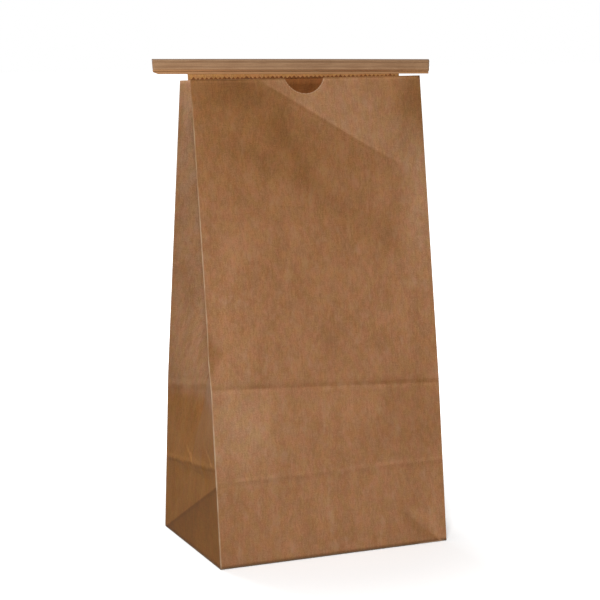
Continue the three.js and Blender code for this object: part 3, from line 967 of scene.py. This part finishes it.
def kraftMaterial():
    material, w, shader = newMaterial("kraft paper")
    uv, along, high = w.sheetPlace()
    layer = {name: w.cloud(uv, *row) for name, row in paperLayers.items()}
    grain = layer["grain"]
    dusty = layer["dusty"]

    # flecked paper, with its dusty kind, and the painted light colours: warm shade, shaded inside and sheen
    tone = sum(layer[name] * share for name, share in paperMix.items())
    spread = high.span(*paperSteps["fleckSpread"])
    fleck = tone.span(0.5 - spread, 0.5 + spread)
    colour = w.mix(fleck, kraft["deep"], kraft["pale"])
    colour = w.mix(dusty.span(*paperSteps["dusty"]) * kraft["dustyShare"], colour, kraft["dusty"])
    sheenAndShade = w.painted("sheenAndShade")
    patchy = sheenAndShade * dusty.span(*paperSteps["sheen"])
    for name, amount in (("ember", sheenAndShade * -1), ("inner", sheenAndShade * -1 - 1), ("sheen", patchy)):
        paper = w.mix(fleck, kraft[name + "Deep"], kraft[name + "Pale"])
        colour = w.mix(amount.most(0.0), colour, paper)
    for name in ("rust", "straw"):
        tinted = w.mix(1.0, colour, kraft[name], "MULTIPLY")
        colour = w.mix(layer[name].span(*paperSteps["tint"]), colour, tinted)

    # pale fold lines (worn paper and painted highlight of the rounded folds), the cut edge round the notch
    # and the bottom edge
    x = along - (frontStart + half) * mm
    front = (half * mm - x.size()).span(*paperSteps["panel"])
    dx = x - bag["notchOffset"] * mm
    dh = high - notchHeight * mm
    rim = (dx * dx + dh * dh) ** 0.5 - notchRadius * mm
    wornAndLit = rim.span(*paperSteps["rim"]) * front * grain.span(*paperSteps["rimGrain"])
    wornAndLit = wornAndLit.most(high.span(*paperSteps["footEdge"]))
    patch = high.span(*paperSteps["wornLitTop"]) * dusty.span(*paperSteps["wornLitPatch"])
    for place, amount in wornAndLitFolds:
        frayed = (along - place * mm).size() + grain * ragged
        wornAndLit = wornAndLit.most((1 - frayed.span(*paperSteps["wornLitLine"])) * patch * amount)
    colour = w.mix(wornAndLit, colour, kraft["wornAndLit"])

    back = (frontStart * mm - along).most(along - rightGussetStart * mm)
    side = back.span(*paperSteps["gussetFront"]) * back.span(*paperSteps["gussetBack"])
    broken = layer["broken"].span(*paperSteps["broken"])
    frontDark, frontLight = frontLines(x, high, broken)
    sideDark, sideLight = gussetLines(back, high, broken, dusty)
    # painted shade and highlight of the creases over the painted tone
    level = (frontLight - frontDark) * front + (sideLight - sideDark) * side
    level = w.painted("tone") * (1 + level)
    # painted shade turns warmer and deeper as it darkens, painted light greyer as it pales
    blue = (level ** kraft["blueDark"]).least(level ** kraft["bluePale"])
    even = w.node("ShaderNodeCombineColor", {0: level, 1: level ** kraft["green"], 2: blue})
    plug(w.mix(1.0, colour, even, "MULTIPLY"), shader, "Base Color")
    shader.inputs["Roughness"].default_value = kraft["rough"]
    shader.inputs["Specular IOR Level"].default_value = kraft["gloss"]
    height = sum(layer[name] * share for name, share in bumpMix.items())
    inputs = {"Height": height, "Strength": kraft["bump"], "Distance": kraft["bumpHeight"]}
    plug(w.node("ShaderNodeBump", inputs), shader, "Normal")
    return material


tie = {
    "length": 154.4, "width": 6.35, "shift": -0.4, "paper": 0.15, "wire": 0.6, "gap": 0.05, "base": 0.4,
    "columns": 150, "rows": 48,
    "pale": (0.395, 0.232, 0.124, 1), "deep": (0.29, 0.155, 0.076, 1),
    # rim: paler colour on the face's lower rim, painted light on its downward slope; line: dark colour,
    # painted shade along the upper edge and the grooves
    "rim": (0.74, 0.4, 0.19, 1), "line": (0.12, 0.07, 0.04, 1),
    "lowRimLight": (0.0021, 0.0027), "highRimShade": (0.002, 0.0028, 0.0, 0.72), "groove": (0.0001, 0.0005, 0.16, 0.0),
    # the backing's own colour, made paler: painted light over the tie face's shadow
    "backPale": (0.47, 0.25, 0.115, 1), "backDeep": (0.37, 0.185, 0.078, 1),
    "rough": 0.7, "gloss": 0.3, "bump": 0.2, "bumpHeight": 0.0002,
}
# height of the tie's face over its back, by the distance from its middle, as a share of the crown
tieProfile = [
    (0.0, 0.84), (0.85, 0.84), (1.05, 0.82), (1.25, 0.8), (1.45, 0.84), (1.7, 0.93), (1.9, 0.98),
    (2.1, 1.0), (2.3, 0.96), (2.6, 0.77), (2.9, 0.53), (3.2, 0.3),
]
# the dark lines along these pressed grooves are painted shade
tieGrooves = [1.35, -1.05]  # lines pressed along the face, up from its middle
# noise layers of the tie's paper: stretch, turn, scale, detail, roughness
tieLayers = {
    "streaks": ((0.05, 1.0, 1.0), 0.0, 1400.0, 3.0, 0.6),
    "grain": ((1.0, 1.0, 1.0), 0.0, 1600.0, 2.0, 0.6),
    "stain": ((0.35, 1.0, 1.0), 0.0, 260.0, 3.0, 0.6),
}
tieMix = {"streaks": 0.5, "grain": 0.3, "stain": 0.3}
tieBump = {"streaks": 1.0, "grain": 0.5}
tieSpread = (0.36, 0.74)


def tieHeight(up):
    crown = 2 * tie["paper"] + 2 * tie["gap"] + tie["wire"]
    near = abs(up)
    for (a, low), (b, high) in zip(tieProfile, tieProfile[1:]):
        if near <= b:
            return crown * lerp(low, high, (near - a) / (b - a))
    return crown * tieProfile[-1][1]


def makeTie(material):
    bm = bmesh.new()
    long = tie["length"] / 2
    wide = tie["width"] / 2
    addPanel(bm, -long, long, -wide, wide, tie["columns"], tie["rows"])
    flatUv(bm)
    for vert in bm.verts:
        x, up = vert.co.x + tie["shift"], vert.co.y
        vert.co = onLip(x, lip["strip"] + wide + skewAt(x) + up, tie["base"] + tieHeight(up)) * mm
    bmesh.ops.reverse_faces(bm, faces=bm.faces)
    bmesh.ops.recalc_face_normals(bm, faces=bm.faces)
    finishPiece(bm, "tie_face", material, "tie_front_paper", tie["paper"])


def tieMaterial(name, pale, deep, pressed):
    material, w, shader = newMaterial(name)
    place = w.node("ShaderNodeTexCoord", out=3)
    layer = {key: w.cloud(place, *row) for key, row in tieLayers.items()}
    tone = sum(layer[key] * share for key, share in tieMix.items())
    colour = w.mix(tone.span(*tieSpread), deep, pale)
    # the face: painted light on its lower rim, painted shade along its upper edge and grooves
    if pressed:
        up = w.sheetPlace()[2]
        colour = w.mix((up * -1).span(*tie["lowRimLight"]), colour, tie["rim"])
        line = up.span(*tie["highRimShade"])
        for groove in tieGrooves:
            line = line + (up - groove * mm).size().span(*tie["groove"])
        colour = w.mix(line, colour, tie["line"])
    plug(colour, shader, "Base Color")
    shader.inputs["Roughness"].default_value = tie["rough"]
    shader.inputs["Specular IOR Level"].default_value = tie["gloss"]
    height = sum(layer[key] * share for key, share in tieBump.items())
    inputs = {"Height": height, "Strength": tie["bump"], "Distance": tie["bumpHeight"]}
    plug(w.node("ShaderNodeBump", inputs), shader, "Normal")
    return material


steel = {
    "drawn": ((0.02, 1.0, 1.0), 0.0, 3000.0, 2.0, 0.6), "rough": (0.2, 0.8, 0.3, 0.5),
    "deep": (0.42, 0.42, 0.43, 1), "pale": (0.6, 0.6, 0.61, 1),
}


def wireMaterial():
    material, w, shader = newMaterial("tie wire")
    drawn = w.cloud(w.node("ShaderNodeTexCoord", out=3), *steel["drawn"])
    plug(w.mix(drawn, steel["deep"], steel["pale"]), shader, "Base Color")
    plug(drawn.span(*steel["rough"]), shader, "Roughness")
    shader.inputs["Metallic"].default_value = 1.0
    return material


# the floor glows white away from the object and keeps its shadow near it
stage = {
    "reach": 6.0, "ambient": 0.32, "near": (0.16, 0.16, 0.16, 1), "far": (0.95, 0.95, 0.95, 1),
    "glow": (0.07, 0.27), "floor": (0.9, 0.9, 0.9, 1), "bounce": (0.3, 0.26, 0.2, 1),
}


def makeFloor():
    bm = bmesh.new()
    bmesh.ops.create_grid(bm, x_segments=1, y_segments=1, size=stage["reach"])
    mesh = bpy.data.meshes.new("floor")
    bm.to_mesh(mesh)
    bm.free()
    floor = bpy.data.objects.new("floor", mesh)
    scene.collection.objects.link(floor)
    material, w, shader = newMaterial("pale floor")
    shader.inputs["Base Color"].default_value = stage["bounce"]
    shader.inputs["Roughness"].default_value = 1.0
    shader.inputs["Specular IOR Level"].default_value = 0.0
    place = w.node("ShaderNodeTexCoord", out=3)
    away = w.node("ShaderNodeVectorMath", {0: place}, out=1, operation="LENGTH")
    pale = w.mix(away.span(*stage["glow"]), stage["near"], stage["far"])
    glow = w.node("ShaderNodeEmission", {"Color": pale, "Strength": 1.0})
    soft = w.node("ShaderNodeBsdfDiffuse", {"Color": stage["floor"]})
    seen = w.node("ShaderNodeAddShader", {0: glow, 1: soft})
    plain = Wire(w.tree, shader.outputs[0])
    both = w.node("ShaderNodeMixShader", {0: w.lightPath(), 1: plain, 2: seen})
    plug(both, w.tree.nodes["Material Output"], "Surface")
    mesh.materials.append(material)


def makeWorld():
    world = bpy.data.worlds.new("studio")
    scene.world = world
    world.use_nodes = True
    w = Wire(world.node_tree)
    back = world.node_tree.nodes["Background"]
    back.inputs["Color"].default_value = (1, 1, 1, 1)
    plug(w.lightPath() * (1 - stage["ambient"]) + stage["ambient"], back, "Strength")


# soft round lamps: place, aim, size, power
lamps = {
    "key": ((-0.575, -1.08, 1.42), (0, 0, 0.12), 0.5, 24.8),
    "rim": ((-0.12, 0.8, 1.3), (0, 0, 0.05), 0.5, 9.0),
}


def makeLamps():
    for name, (place, aim, size, power) in lamps.items():
        data = bpy.data.lights.new(name, "AREA")
        data.shape = "DISK"
        data.size = size
        data.energy = power
        lamp = bpy.data.objects.new(name, data)
        scene.collection.objects.link(lamp)
        lamp.location = place
        lamp.rotation_euler = (Vector(aim) - Vector(place)).to_track_quat("-Z", "Y").to_euler()


camera = {
    "lens": 109.06, "sensor": 36, "near": 0.01,
    "place": (-0.3735, -0.8583, 0.2812), "look": (0.3916, 0.9055, -0.1635),
}


def makeCamera():
    data = bpy.data.cameras.new("camera")
    data.sensor_width = camera["sensor"]
    data.lens = camera["lens"]
    data.clip_start = camera["near"]
    eye = bpy.data.objects.new("camera", data)
    scene.collection.objects.link(eye)
    eye.location = camera["place"]
    eye.rotation_euler = Vector(camera["look"]).to_track_quat("-Z", "Y").to_euler()
    scene.camera = eye


def dressNode(name, material):
    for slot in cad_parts[name].material_slots:
        slot.material = material


makeCamera()
makeFloor()
makeWorld()
makeLamps()
print("stage set")
makeBag(kraftMaterial())
makeTie(tieMaterial("tie paper", tie["pale"], tie["deep"], True))
dressNode("tie_back_paper", tieMaterial("tie backing", tie["backPale"], tie["backDeep"], False))
drawnSteel = wireMaterial()
dressNode("tie_upper_wire", drawnSteel)
dressNode("tie_lower_wire", drawnSteel)
print("bag and tie made")
